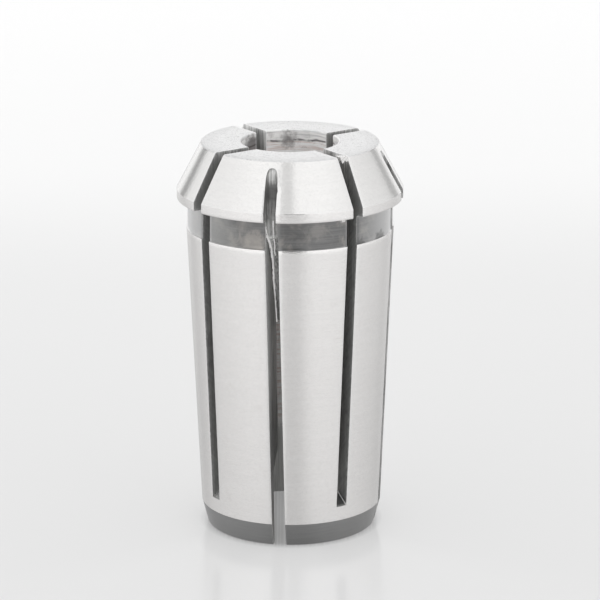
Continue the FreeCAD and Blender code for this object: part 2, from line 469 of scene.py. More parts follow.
def lip(slot, side, i):
    """The slot's edge at an open ring: a vertex on the skin, one on the break, one on the wall."""
    ring = rings[i]
    half = half_width(slot, i)
    fade = min(distance_to_end(slot, i) / edge_fade, 1.0)
    uneven = 0.75 + 0.6 * noise.noise(Vector((ring.run * 700, slots.index(slot) * 7, side * 3)))
    size = edge_break * fade * uneven
    stray = sawn_wander(slot, side, ring.radius, ring.height) * fade
    stray += side * torn(slot, side, ring.height) * outer_side(ring) * fade
    made = []
    # Each of the three lies so far out over the skin and down the wall, and is worn so much; the worn
    # share also paints a highlight.
    for out, down, wear_and_highlight in ((1.0, 0.0, 0.5), (0.29, 0.29, 1.0), (0.0, 1.0, 0.5)):
        radius = ring.radius - ring.normal.x * size * down
        height = ring.height - ring.normal.y * size * down
        across = side * (half + size * out) + slot.offset(height) + stray
        made.append((radius, across, height, wear_and_highlight))
        if size == 0:
            break
    bright = wall_painted_light_and_wear(slot, side, ring.radius, ring.height)
    # Painted highlight along the edge of a tail slot's left wall where it meets the bore.
    if slot.kind == "tail" and side < 0 and ring.radius < bore_radius * 1.01:
        bright = 0.9 * ease(ring.height, 21.0 * mm, 24.0 * mm)
    numbers = [put(slot.place(r, a, h), wear_and_highlight, bright) for r, a, h, wear_and_highlight in made]
    return numbers if len(numbers) == 3 else numbers * 3


def seam(slot, i):
    """The vertices across a slot's width at a ring where it is closed."""
    ring = rings[i]
    half = half_width(slot, i)
    if slot.kind == "nose":
        spread = nose_spread
    else:
        spread = [crown_across(turn) for turn in turns]
    middle = slot.offset(ring.height)
    if half < 1e-9:
        return [put(slot.place(ring.radius, middle, ring.height))] * len(spread)
    return [put(slot.place(ring.radius, s * half + middle, ring.height)) for s in spread]


strip_columns = 18
left_lips, right_lips, seams = [], [], []
for i in range(len(rings)):
    left_lips.append([])
    right_lips.append([])
    seams.append([])
    for slot in slots:
        if is_open(slot, i):
            left_lips[i].append(lip(slot, -1, i))
            right_lips[i].append(lip(slot, 1, i))
            seams[i].append(None)
        else:
            line = seam(slot, i)
            left_lips[i].append([line[0]] * 3)
            right_lips[i].append([line[-1]] * 3)
            seams[i].append(line)


def azimuth_of(number):
    """A vertex's azimuth from the front."""
    point = vertices[number]
    return math.atan2(point.x, -point.y)


def strip(i, s):
    """The vertices of one jaw's skin at a ring, from one slot's edge to the next one's."""
    ring = rings[i]
    first, last = right_lips[i][s][0], left_lips[i][(s + 1) % len(slots)][0]
    start, end = azimuth_of(first), azimuth_of(last)
    if end < start:
        end += 2 * math.pi
    line = [first]
    for c in range(1, strip_columns):
        turn = start + (end - start) * c / strip_columns
        x, y = ring.radius * math.sin(turn), -ring.radius * math.cos(turn)
        line.append(put(Vector((x, y, ring.height))))
    return line + [last]


strips = [[strip(i, s) for s in range(len(slots))] for i in range(len(rings))]


def skin_between(lower, upper, finish):
    """The faces between two lines of vertices with as many in each."""
    for a, b, c, d in zip(lower, lower[1:], upper[1:], upper):
        face(finish, a, b, c, d)


for i in range(len(rings)):
    k = (i + 1) % len(rings)
    finish = rings[i].finish
    for s, slot in enumerate(slots):
        skin_between(strips[i][s], strips[k][s], finish)
        if seams[i][s] and seams[k][s]:
            skin_between(seams[i][s], seams[k][s], finish)
            continue
        for side_lips, order in ((left_lips, -1), (right_lips, 1)):
            low, high = side_lips[i][s], side_lips[k][s]
            skin_between(low[:2][::-order], high[:2][::-order], finish)
            skin_between(low[1:][::-order], high[1:][::-order], "sawn")


def floor_rows(slot):
    """A slot's floor as lines of vertices across it, from the bore side to the outside."""
    rows = []
    if slot.kind == "nose":
        outer, inner = rings[nose_start].radius, rings[nose_stop].radius
        steps = 6
        rows.append(seams[nose_stop][slots.index(slot)])
        for step in range(1, steps):
            radius = inner + (outer - inner) * step / steps
            height = nose_floor(radius)
            offset = slot.offset(height)
            line = []
            for a in nose_spread:
                spot = slot.place(math.hypot(radius, a * slot.half), a * slot.half + offset, height)
                line.append(put(spot, bright=floor_painted_light_shade_and_wear(slot, a, height)))
            rows.append(line)
        rows.append(seams[nose_start][slots.index(slot)])
        return rows
    s = slots.index(slot)
    deep_steps, shallow_steps = 22, 18
    columns = []
    for j, turn in enumerate(turns):
        rise = crown_rise(turn)
        meet = bisect(
            lambda z: shallow_floor(z) + rise - deep_reach(z), 48.0 * mm, 53.5 * mm)
        column = []
        for step in range(1, deep_steps + 1):
            height = bore_exit + (meet - bore_exit) * (step / deep_steps) ** 0.8
            column.append((deep_reach(height), height))
        leave = exits[min(j, tail_bends - j)]
        for step in range(1, shallow_steps):
            height = meet + (leave - meet) * step / shallow_steps
            column.append((shallow_floor(height) + rise, height))
        a = crown_across(turn)
        line = []
        for r, z in column:
            across = tail_half(z) * a
            radius = math.hypot(r, across)
            across += slot.offset(z) + (a == 1) * torn(slot, 1, z)
            line.append(put(slot.place(radius, across, z), bright=floor_painted_light_shade_and_wear(slot, a, z)))
        columns.append(line)
    rows.append(seams[tail_start][s])
    for row in range(deep_steps + shallow_steps - 1):
        rows.append([column[row] for column in columns])
    last = []
    for j in range(tail_bends + 1):
        ring = tip_rings[min(j, tail_bends - j)]
        if ring == tail_stop:
            last.append(seams[ring][s][0])
        else:
            last.append((left_lips if j < tail_bends / 2 else right_lips)[ring][s][0])
    rows.append(last)
    return rows


def wall(slot, side, floor_edge):
    """One sawn wall, filled between its edge on the skin and its edge on the floor."""
    s = slots.index(slot)
    lips = left_lips if side < 0 else right_lips
    if slot.kind == "nose":
        around = list(range(nose_start, nose_stop + 1))
    else:
        around = list(range(tail_start, len(rings))) + list(range(tip_rings[0] + 1))
    border = [lips[i][s][2] for i in around]
    border += floor_edge if slot.kind == "nose" else floor_edge[::-1]
    border = [n for i, n in enumerate(border) if n not in border[:i]]
    flat = []
    for number in border:
        point = vertices[number]
        flat.append(Vector((math.hypot(point.x, point.y), point.z)) * 1000)
    spacing = 0.8
    inside = []
    low_r, high_r = min(p.x for p in flat), max(p.x for p in flat)
    low_z, high_z = min(p.y for p in flat), max(p.y for p in flat)
    for row in range(int((high_z - low_z) / spacing)):
        for column in range(int((high_r - low_r) / spacing)):
            r = low_r + (column + 0.5 + 0.5 * (row % 2)) * spacing
            spot = Vector((r, low_z + (row + 0.5) * spacing))
            if is_inside(spot, flat, 0.3 * spacing):
                inside.append(spot)
    numbers = list(border)
    for spot in inside:
        radius, height = spot.x * mm, spot.y * mm
        across = side * half_at(slot, height) + slot.offset(height)
        across += sawn_wander(slot, side, radius, height)
        bright = wall_painted_light_and_wear(slot, side, radius, height)
        numbers.append(put(slot.place(radius, across, height), bright=bright))
    ring_edges = [(i, (i + 1) % len(border)) for i in range(len(border))]
    result = geometry.delaunay_2d_cdt(flat + inside, ring_edges, [], 1, 1e-6)
    known = []
    for spot, origins in zip(result[0], result[3]):
        if origins:
            known.append(numbers[origins[0]])
        else:
            height = spot.y * mm
            across = side * half_at(slot, height) + slot.offset(height)
            known.append(put(slot.place(spot.x * mm, across, height), bright=0.2))
    for triangle in result[2]:
        face("sawn", *[known[corner] for corner in triangle])


def is_inside(spot, outline, margin):
    """True where a point lies inside an outline and clear of its edge."""
    crossings = False
    for a, b in zip(outline, outline[1:] + outline[:1]):
        if (a.y > spot.y) != (b.y > spot.y):
            if spot.x < a.x + (spot.y - a.y) * (b.x - a.x) / (b.y - a.y):
                crossings = not crossings
    if not crossings:
        return False
    return all(near(spot, a, b) > margin for a, b in zip(outline, outline[1:] + outline[:1]))


def near(spot, a, b):
    """Distance from a point to a short edge."""
    along = b - a
    t = min(max((spot - a).dot(along) / max(along.length_squared, 1e-12), 0.0), 1.0)
    return (spot - a - along * t).length


def splinter(slot, start, stop, outline, fall=0.0):
    """A burr: an outline in radius and height, from start to stop, where it has fallen back."""
    ends = []
    for across, back in ((start, 0.0), (stop, fall)):
        ends.append([])
        for r, z in outline:
            spot = slot.place(math.hypot(r - back, across), across + slot.offset(z), z)
            ends[-1].append(put(spot))
    face("cone", *ends[0][::-1])
    face("cone", *ends[1])
    count = len(outline)
    for k in range(count):
        face("cone", ends[0][k], ends[0][(k + 1) % count], ends[1][(k + 1) % count], ends[1][k])


def bright_seam(slot, side):
    """A fine ridge along the corner of a nose slot's floor and one wall, painted near white as a painted
    highlight.
    """
    steps = 10
    lines = []
    for step in range(steps + 1):
        radius = relief_radius + (seat_foot_radius - relief_radius) * step / steps
        height = nose_floor(radius)
        corner = side * slot.half
        lines.append([])
        for a, z in ((corner + side * 0.06 * mm, height - 0.06 * mm),
                     (corner - side * 0.13 * mm, height - 0.03 * mm),
                     (corner + side * 0.03 * mm, height + 0.13 * mm)):
            spot = slot.place(math.hypot(radius, a), a + slot.offset(z), z)
            lines[-1].append(put(spot, bright=1.6))
    for lower, upper in zip(lines, lines[1:]):
        skin_between(lower + lower[:1], upper + upper[:1], "sawn")
    face("sawn", *lines[0])
    face("sawn", *lines[-1][::-1])


bright_seam(slots[1], 1)


def burr_streak(slot, start, stop, width, place):
    """A streak of small burrs down a tail slot's floor. Each stands up square and catches the light."""
    height = start
    while height > stop:
        seed = Vector((height * 3000, slot.azimuth, width * 9000))
        tall = (0.42 + 0.25 * noise.noise(seed)) * mm
        middle = (place(height / mm) + 0.08 * noise.noise(seed * 1.7)) * mm
        half = width * (0.5 + 0.3 * noise.noise(seed * 2.3))
        turn = math.asin(min(abs(middle / tail_half(height)), 1.0) ** (1 / crown_power))
        floor = []
        for z in (height, height - tall):
            floor.append(min(shallow_floor(z) + crown_rise(turn), deep_reach(z)))
        reach = max(floor)
        splinter(slot, middle - half, middle + half, (
            (floor[0] - 0.05 * mm, height + 0.03 * mm),
            (reach + 0.04 * mm, height - 0.04 * mm),
            (reach + 0.02 * mm, height - tall),
            (floor[1] - 0.08 * mm, height - tall - 0.02 * mm)), fall=0.28 * half)
        height -= tall


for slot in slots[::2]:
    burr_streak(slot, 51.6 * mm, 34.9 * mm, 0.28 * mm,
                lambda z: -0.62 - 0.34 * ease(z, 48.5, 51.3) - 0.34 * ease(z, 47.0, 39.5))
    burr_streak(slot, 52.2 * mm, 46.5 * mm, 0.13 * mm,
                lambda z: -0.02 + 0.14 * ease(z, 51.5, 49.5) - 0.22 * ease(z, 49.0, 47.0))

# Where the right-hand nose slot breaks out over the cone, a torn fringe hangs into it.
fringe = slots[1]
teeth = 6
tooth_pitch = 0.24
tooth_width = 0.21 * mm
for tooth in range(teeth):
    left = (-0.35 + tooth_pitch * tooth) * mm
    foot = nose_height - (0.75 + 0.4 * noise.noise(Vector((tooth * 3.7, 1.0, 0.5)))) * mm
    top = nose_height - 0.02 * mm
    splinter(fringe, left, left + tooth_width, (
        (nose_radius - (1.4 - 0.12 * tooth) * mm, top),
        (nose_radius - 0.02 * mm, top),
        (cone_radius(foot) - 0.01 * mm, foot),
        (cone_radius(foot) - 0.15 * mm, foot),
        (nose_radius - 0.5 * mm, top - 0.3 * mm)))
# A flake clings under the rim beside that slot.
splinter(fringe, -2.95 * mm, -2.3 * mm, (
    (head_radius - 0.75 * mm, rim_foot + 0.05 * mm),
    (head_radius - 0.12 * mm, rim_foot + 0.1 * mm),
    (head_radius - 0.2 * mm, rim_foot - 0.22 * mm),
    (head_radius - 0.6 * mm, rim_foot - 0.3 * mm)))

for slot in slots:
    rows = floor_rows(slot)
    for lower, upper in zip(rows, rows[1:]):
        skin_between(lower, upper, "sawn")
    for side, column in ((-1, 0), (1, -1)):
        wall(slot, side, [row[column] for row in rows])

# The finishes
# Each finish is a material of its own, but they share four effects: the rings that turning and
# grinding leave, stains, marks of the saw, and worn edges that also carry a painted highlight.


def add_node(tree, kind, inputs=(), **settings):
    """A shader node with its settings, and its inputs wired or set."""
    made = tree.nodes.new("ShaderNode" + kind)
    for name, value in settings.items():
        setattr(made, name, value)
    for name, value in dict(inputs).items():
        socket = made.inputs[name]
        if isinstance(value, bpy.types.NodeSocket):
            tree.links.new(value, socket)
        else:
            socket.default_value = value
    return made


def maths(tree, operation, *values):
    """The result of one sum on sockets or numbers."""
    return add_node(tree, "Math", dict(enumerate(values)), operation=operation).outputs[0]


def ramp(tree, value, start, end, low=0.0, high=1.0, shape="LINEAR"):
    """A number that runs from low to high as a value runs from start to end."""
    limits = {"From Min": start, "From Max": end, "To Min": low, "To Max": high}
    made = add_node(tree, "MapRange", {"Value": value, **limits}, interpolation_type=shape)
    return made.outputs["Result"]


def span(tree, value, low, high):
    """A number that runs from low to high as a value runs from 0 to 1."""
    return ramp(tree, value, 0.0, 1.0, low, high)


def cloudy(tree, place, scale, detail, roughness=0.5, distortion=0.0):
    """A cloudy pattern over a place, the finer the greater its scale."""
    looks = {"Scale": scale, "Detail": detail, "Roughness": roughness, "Distortion": distortion}
    return add_node(tree, "TexNoise", {"Vector": place, **looks}).outputs["Fac"]


def stretched(tree, place, factors):
    """A place stretched by a factor along each axis."""
    return add_node(tree, "VectorMath", {0: place, 1: factors}, operation="MULTIPLY").outputs[0]


def mesh_mark(tree, name):
    """A value that the mesh carries at each of its points."""
    return add_node(tree, "Attribute", attribute_name=name, attribute_type="GEOMETRY").outputs["Fac"]


def around_axis(tree):
    """Where a point lies: its place, its radius and its height, all in millimetres."""
    place = stretched(tree, add_node(tree, "TexCoord").outputs["Object"], (1000, 1000, 1000))
    flat = stretched(tree, place, (1, 1, 0))
    radius = add_node(tree, "VectorMath", {0: flat}, operation="LENGTH").outputs["Value"]
    height = add_node(tree, "SeparateXYZ", {0: place}).outputs["Z"]
    return place, radius, height


def new_group(name, inputs, outputs):
    """An empty node group with named inputs and outputs."""
    group = bpy.data.node_groups.new(name, "ShaderNodeTree")
    for label, value in inputs.items():
        socket = group.interface.new_socket(label, in_out="INPUT", socket_type="NodeSocketFloat")
        socket.default_value = value
    for label in outputs:
        group.interface.new_socket(label, in_out="OUTPUT", socket_type="NodeSocketFloat")
    return group, group.nodes.new("NodeGroupInput").outputs, group.nodes.new("NodeGroupOutput").inputs


def make_rings_group():
    """Rings round the axis, fine along the section and long round it."""
    group, given, result = new_group("turned_rings", {"Spacing": 0.2, "Length": 20.0}, ("Height", "Band"))
    place, radius, height = around_axis(group)
    step = maths(group, "DIVIDE", maths(group, "SUBTRACT", height, radius), given["Spacing"])
    shrink = maths(group, "DIVIDE", 1.0, given["Length"])
    slow = add_node(group, "VectorMath", {0: place, "Scale": shrink}, operation="SCALE").outputs[0]
    x, y, z = add_node(group, "SeparateXYZ", {0: slow}).outputs
    spot = add_node(group, "CombineXYZ", {0: x, 1: y, 2: step}).outputs[0]
    group.links.new(cloudy(group, spot, 1.0, 3.0, 0.6), result["Height"])
    group.links.new(cloudy(group, spot, 0.17, 2.0), result["Band"])
    return group


def make_stain_group():
    """Blotches with soft edges, as oil and the furnace leave them, with specks and a fine grain."""
    group, given, result = new_group("stains", {"Size": 2.0, "Cover": 0.5}, ("Stain", "Speck", "Grain"))
    place, radius, height = around_axis(group)
    blotch = cloudy(group, place, maths(group, "DIVIDE", 1.0, given["Size"]), 4.0, 0.6, 0.6)
    low = maths(group, "SUBTRACT", 0.95, given["Cover"])
    stain = ramp(group, blotch, low, maths(group, "ADD", low, 0.25), shape="SMOOTHSTEP")
    speck = ramp(group, cloudy(group, place, 4.0, 3.0, 0.7), 0.52, 0.75)
    grain = cloudy(group, stretched(group, place, (1.3, 1.3, 2.6)), 1.0, 2.0, 0.7)
    group.links.new(stain, result["Stain"])
    group.links.new(speck, result["Speck"])
    group.links.new(grain, result["Grain"])
    return group


def make_saw_group():
    """Scratches along the arc of the saw's rim, which climb from the skin to the bore."""
    group, given, result = new_group("saw_marks", {"Spacing": 0.2}, ("Height", "Streak"))
    place, radius, height = around_axis(group)
    inward = maths(group, "SUBTRACT", deep_axle_radius / mm, radius)
    square = maths(group, "MULTIPLY", inward, inward)
    rise = maths(group, "SQRT", maths(group, "SUBTRACT", (saw_radius / mm) ** 2, square))
    arc = maths(group, "SUBTRACT", height, rise)
    step = maths(group, "DIVIDE", arc, given["Spacing"])
    slow = maths(group, "MULTIPLY", radius, 0.25)
    spot = add_node(group, "CombineXYZ", {0: slow, 1: 0.0, 2: step}).outputs[0]
    drawn = cloudy(group, stretched(group, place, (3.5, 3.5, 0.12)), 1.0, 3.0)
    group.links.new(cloudy(group, spot, 1.0, 3.0, 0.65), result["Height"])
    group.links.new(ramp(group, drawn, 0.35, 0.7), result["Streak"])
    return group


def make_wear_group():
    """Bright edges, worn steel with a painted highlight: the mesh marks the edge, and noise breaks it up.
    """
    group, given, result = new_group("edge_wear_and_highlight", {"Reach": 0.5}, ("WearAndHighlight",))
    place, radius, height = around_axis(group)
    broken = maths(group, "MULTIPLY", mesh_mark(group, "edge"), cloudy(group, place, 3.0, 3.0))
    low = maths(group, "SUBTRACT", 0.5, given["Reach"])
    group.links.new(ramp(group, broken, low, 0.5), result["WearAndHighlight"])
    return group


turned_rings = make_rings_group()
stains = make_stain_group()
saw_marks = make_saw_group()
worn_edge_and_highlight = make_wear_group()


def new_material(name):
    """A material with its node tree and its shader."""
    material = bpy.data.materials.new(name)
    material.use_nodes = True
    return material, material.node_tree, material.node_tree.nodes["Principled BSDF"]


def effect(tree, group, **values):
    """What one of the shared effects puts out, placed in a material with its own values."""
    made = tree.nodes.new("ShaderNodeGroup")
    made.node_tree = group
    for name, value in values.items():
        made.inputs[name].default_value = value
    return made.outputs


def blend(tree, share, first, second):
    """A colour that goes from the first to the second with a share."""
    made = add_node(tree, "Mix", data_type="RGBA")
    tree.links.new(share, made.inputs["Factor"])
    colours = [s for s in made.inputs if s.type == "RGBA"]
    for socket, value in zip(colours, (first, second)):
        if isinstance(value, bpy.types.NodeSocket):
            tree.links.new(value, socket)
        else:
            socket.default_value = (*value, 1)
    return [s for s in made.outputs if s.type == "RGBA"][0]


def layered(tree, colour, *layers):
    """A colour with others laid over it in turn, each by its share."""
    for share, shade in layers:
        colour = blend(tree, share, colour, shade)
    return colour


def dress(tree, shader, colour, metal, roughness, *reliefs):
    """A shader's colour, metal and roughness, and reliefs laid over each other, each a height
    with its depth in metres."""
    tree.links.new(colour, shader.inputs["Base Color"])
    shader.inputs["Metallic"].default_value = metal
    tree.links.new(roughness, shader.inputs["Roughness"])
    normal = None
    for height, depth in reliefs:
        bump = add_node(tree, "Bump", {"Height": height, "Distance": depth})
        if normal:
            tree.links.new(normal, bump.inputs["Normal"])
        normal = bump.outputs["Normal"]
    tree.links.new(normal, shader.inputs["Normal"])


def make_ground_steel(name, pale, dull, smooth, spacing, relief, waviness, stain_cover):
    """Bright ground steel: fine rings, a faint orange peel and stains, worn edges with a painted
    highlight.
    """
    material, tree, shader = new_material(name)
    rings = effect(tree, turned_rings, Spacing=spacing, Length=5.0)
    stain = effect(tree, stains, Size=3.5, Cover=stain_cover)
    wear_and_highlight = effect(tree, worn_edge_and_highlight, Reach=0.45)
    colour = layered(
        tree, blend(tree, rings["Band"], dull, pale),
        (span(tree, rings["Height"], 0.22, -0.06), (0.66, 0.65, 0.64)),
        (span(tree, stain["Grain"], 0.16, -0.08), (0.60, 0.59, 0.59)),
        (span(tree, stain["Stain"], 0.0, 0.25), (0.62, 0.58, 0.55)),
        (span(tree, stain["Speck"], 0.0, 0.2), (0.55, 0.54, 0.53)),
        (wear_and_highlight["WearAndHighlight"], (0.93, 0.93, 0.92)))
    dress(tree, shader, colour, 1.0, span(tree, rings["Height"], smooth, smooth + 0.10),
          (rings["Height"], relief), (stain["Grain"], waviness))
    return material


def make_nose_face():
    """The nose face: faced, not ground, so matt and finely pitted, and crumbled at its edges, with a
    painted highlight there.
    """
    material, tree, shader = new_material("faced_steel")
    rings = effect(tree, turned_rings, Spacing=0.4, Length=0.9)
    stain = effect(tree, stains, Size=1.2, Cover=0.4)
    wear_and_highlight = effect(tree, worn_edge_and_highlight, Reach=0.5)
    place, radius, height = around_axis(tree)
    strokes = ramp(tree, rings["Height"], 0.58, 0.72)
    scuffed = ramp(tree, radius, 11.0, 13.4, 0.0, 0.25)
    colour = layered(
        tree, blend(tree, stain["Stain"], (0.83, 0.83, 0.83), (0.62, 0.62, 0.62)),
        (span(tree, strokes, 0.0, 0.55), (0.42, 0.41, 0.41)),
        (span(tree, stain["Speck"], 0.0, 0.8), (0.42, 0.41, 0.41)),
        (scuffed, (0.50, 0.50, 0.50)),
        (wear_and_highlight["WearAndHighlight"], (0.95, 0.95, 0.95)))
    dress(tree, shader, colour, 0.9, span(tree, stain["Speck"], 0.42, 0.62),
          (rings["Height"], 0.000012))
    return material


def patch(tree, centre, reach, softness):
    """A mask round one spot of the object, given in millimetres, with a ragged edge."""
    place, radius, height = around_axis(tree)
    ragged = span(tree, cloudy(tree, place, 1.6, 3.0), -1.2, 1.2)
    away = add_node(tree, "VectorMath", {0: place, 1: centre}, operation="DISTANCE").outputs["Value"]
    return ramp(tree, maths(tree, "ADD", away, ragged), reach + softness, reach, shape="SMOOTHSTEP")


def make_dark_skin(name, dark, light, brown, sheen, stain_size, stain_cover, spots=()):
    """The dark skin that hardening leaves where nothing is ground. Seen aslant it is painted paler, a
    painted reflection at a grazing view.
    """
    material, tree, shader = new_material(name)
    rings = effect(tree, turned_rings, Spacing=0.25, Length=6.0)
    stain = effect(tree, stains, Size=stain_size, Cover=stain_cover)
    wear_and_highlight = effect(tree, worn_edge_and_highlight, Reach=0.4)
    # Painted reflection: the skin is painted paler where it is seen aslant.
    aslant = add_node(tree, "LayerWeight", {"Blend": 0.5}).outputs["Facing"]
    colour = layered(
        tree, blend(tree, rings["Height"], dark, light),
        (span(tree, stain["Stain"], 0.0, 0.7), brown),
        (wear_and_highlight["WearAndHighlight"], light),
        (ramp(tree, aslant, 0.22, 0.78), (sheen, sheen, sheen)))
    for centre, reach, softness, share, shade in spots:
        mask = patch(tree, centre, reach, softness)
        colour = blend(tree, span(tree, mask, 0.0, share), colour, shade)
    dress(tree, shader, colour, 1.0, span(tree, stain["Speck"], 0.30, 0.45),
          (rings["Height"], 0.000004))
    return material


def make_bore_steel():
    """The bore: reamed and honed, with brown oil stains, rings, a line of rust and a painted shadow on
    its left wall.
    """
    material, tree, shader = new_material("bored_steel")
    rings = effect(tree, turned_rings, Spacing=0.3, Length=5.0)
    stain = effect(tree, stains, Size=1.3, Cover=0.42)
    wear_and_highlight = effect(tree, worn_edge_and_highlight, Reach=0.5)
    place, radius, height = around_axis(tree)
    wave = span(tree, cloudy(tree, place, 0.28, 2.0), 0.6, -0.6)
    fading = ramp(tree, cloudy(tree, place, 0.5, 2.0), 0.42, 0.52, 0.1)
    tilted = add_node(tree, "VectorMath", {0: place, 1: (-0.05, 0.0, 1.0)}, operation="DOT_PRODUCT")
    level = maths(tree, "ADD", tilted.outputs["Value"], wave)
    rust_level = nose_height / mm - 1.55
    below = ramp(tree, level, rust_level, rust_level - 0.3)
    away = maths(tree, "ABSOLUTE", maths(tree, "SUBTRACT", level, rust_level))
    rust = maths(tree, "MULTIPLY", ramp(tree, away, 0.2, 0.08, 0.0, 0.85), fading)
    honed = ramp(tree, rings["Height"], 0.38, 0.56)
    upper = blend(tree, honed, (0.70, 0.70, 0.70), (1.0, 1.0, 0.99))
    lower = blend(tree, honed, (0.78, 0.70, 0.67), (1.0, 1.0, 1.0))
    blotch = patch(tree, (-1.5, 7.3, 59.7), 0.0, 2.0)
    # Painted shadow on the bore wall of the left jaw.
    left_wall_shadow = patch(tree, (-6.6, 3.6, 58.9), 1.3, 1.6)
    colour = layered(
        tree, blend(tree, below, upper, lower),
        (span(tree, stain["Stain"], 0.0, 0.45), (0.30, 0.28, 0.27)),
        (span(tree, blotch, 0.0, 0.8), (0.16, 0.15, 0.15)),
        (span(tree, left_wall_shadow, 0.0, 0.85), (0.14, 0.13, 0.13)),
        (rust, (0.10, 0.09, 0.09)),
        (wear_and_highlight["WearAndHighlight"], (0.9, 0.9, 0.9)))
    dress(tree, shader, colour, 0.15, span(tree, rings["Band"], 0.40, 0.60),
          (rings["Height"], 0.00002))
    return material


def make_relief_steel():
    """The relief: bored roughly, bright, with marks of the boring bar running down it."""
    material, tree, shader = new_material("relief_steel")
    saw = effect(tree, saw_marks, Spacing=0.3)
    wear_and_highlight = effect(tree, worn_edge_and_highlight, Reach=0.5)
    colour = layered(
        tree, blend(tree, saw["Streak"], (0.36, 0.36, 0.35), (0.60, 0.60, 0.59)),
        (wear_and_highlight["WearAndHighlight"], (0.8, 0.8, 0.8)))
    dress(tree, shader, colour, 1.0, span(tree, saw["Streak"], 0.30, 0.42),
          (saw["Streak"], 0.00001))
    return material


def make_sawn_steel():
    """The sawn walls: dark from hardening and scratched along the saw's arc. The mesh marks how much
    painted light and steel worn bright lighten them, and below 0 how much painted shade darkens them."""
    material, tree, shader = new_material("sawn_steel")
    saw = effect(tree, saw_marks, Spacing=0.22)
    stain = effect(tree, stains, Size=1.5, Cover=0.45)
    wear_and_highlight = effect(tree, worn_edge_and_highlight, Reach=0.35)
    # The mesh's mark: painted light and steel worn bright by the saw where it is high, painted shade
    # below 0.
    mark = mesh_mark(tree, "painted_light_shade_and_wear")
    ragged = maths(tree, "ADD", mark, span(tree, saw["Streak"], -0.35, 0.35))
    ragged = maths(tree, "ADD", ragged, span(tree, saw["Height"], -0.12, 0.12))
    colour = layered(
        tree, blend(tree, saw["Height"], (0.13, 0.13, 0.13), (0.48, 0.48, 0.47)),
        (span(tree, saw["Streak"], 0.0, 0.4), (0.50, 0.50, 0.49)),
        (span(tree, stain["Stain"], 0.0, 0.4), (0.12, 0.12, 0.12)),
        (ramp(tree, ragged, 0.15, 1.05), (0.95, 0.95, 0.94)),
        (ramp(tree, mark, 0.0, -1.0, 0.0, 0.8), (0.03, 0.03, 0.03)),
        (wear_and_highlight["WearAndHighlight"], (0.85, 0.85, 0.84)))
    dress(tree, shader, colour, 0.4, span(tree, saw["Streak"], 0.6, 0.4),
          (saw["Height"], 0.00003))
    return material


# Stains in the groove, and painted shade at its foot on the right: where each lies, its reach, its soft
# edge, its strength and its shade.
groove_stains_and_shade = (
    ((-2.9, -15.4, 49.2), 1.0, 1.2, 0.5, (0.46, 0.43, 0.40)),
    ((-4.6, -15.1, 51.6), 0.3, 1.6, 0.5, (0.30, 0.29, 0.28)),
    ((-8.0, -13.6, 50.0), 1.4, 2.4, 0.4, (0.42, 0.42, 0.41)),
    ((6.5, -14.4, 50.8), 0.5, 1.6, 0.35, (0.44, 0.42, 0.40)),
    # Painted shade along the groove's foot on the right, above the seat step.
    ((12.0, -9.8, 47.4), 0.9, 0.9, 0.6, (0.12, 0.12, 0.12)),
    ((14.8, -5.6, 47.5), 0.9, 1.0, 0.6, (0.13, 0.13, 0.13)),
)
finish_materials = {
    "tail": make_dark_skin(
        "tail_skin", dark=(0.26, 0.26, 0.26), light=(0.35, 0.35, 0.35), brown=(0.36, 0.36, 0.35),
        sheen=0.39, stain_size=6.0, stain_cover=0.4),
    "ground": make_ground_steel(
        "ground_steel", pale=(0.975, 0.96, 0.95), dull=(0.94, 0.925, 0.915), smooth=0.18,
        spacing=0.12, relief=0.0000025, waviness=0.000035, stain_cover=0.35),
    "cone": make_ground_steel(
        "cone_steel", pale=(0.92, 0.91, 0.90), dull=(0.88, 0.875, 0.865), smooth=0.11,
        spacing=0.15, relief=0.0000012, waviness=0.00002, stain_cover=0.25),
    "nose face": make_nose_face(),
    "bore": make_bore_steel(),
    "relief": make_relief_steel(),
    "sawn": make_sawn_steel(),
    "groove": make_dark_skin(
        "groove_skin", dark=(0.12, 0.12, 0.12), light=(0.29, 0.29, 0.29), brown=(0.38, 0.36, 0.34),
        sheen=0.85, stain_size=2.6, stain_cover=0.5, spots=groove_stains_and_shade),
}

mesh = bpy.data.meshes.new("collet_body")
mesh.from_pydata([tuple(v) for v in vertices], [], faces)
mesh.polygons.foreach_set("material_index", face_finish)
for mark, values in (("edge", edge_wear_and_highlight), ("painted_light_shade_and_wear", painted_light_shade_and_wear)):
    mesh.attributes.new(mark, "FLOAT", "POINT").data.foreach_set("value", values)
for finish in FINISHES:
    mesh.materials.append(finish_materials[finish])

shell = bmesh.new()
shell.from_mesh(mesh)
bmesh.ops.remove_doubles(shell, verts=shell.verts, dist=0.0005 * mm)
bmesh.ops.recalc_face_normals(shell, faces=shell.faces)
loose = [v for v in shell.verts if not v.link_faces]
bmesh.ops.delete(shell, geom=loose, context="VERTS")
shell.to_mesh(mesh)
shell.free()
mesh.shade_smooth()
mesh.set_sharp_from_angle(angle=math.radians(32))

collet = bpy.data.objects.new("collet_body", mesh)
bpy.context.collection.objects.link(collet)
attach(collet, "root")
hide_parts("collet")
smoothing = collet.modifiers.new("smoothing", "WEIGHTED_NORMAL")
smoothing.keep_sharp = True

# The table and the light
# A white glossy board in a white light tent, in front of a camera. The steel mirrors the tent,
# grey where it opens, at a seam above that and at both sides, and the board, whose tone is painted
# shade and light for the steel to mirror. To the camera the board looks evenly white, but for
# painted reflections streaked under the collet and painted light close ahead and far back.
camera_heading = math.radians(9.75)
board_reach = 3.0
board_mesh = bpy.data.meshes.new("board")
board_mesh.from_pydata(
    [(x * board_reach, y * board_reach, 0) for x, y in ((-1, -1), (1, -1), (1, 1), (-1, 1))],
    [], [(0, 1, 2, 3)])
board = bpy.data.objects.new("board", board_mesh)
board.rotation_euler.z = camera_heading
bpy.context.collection.objects.link(board)

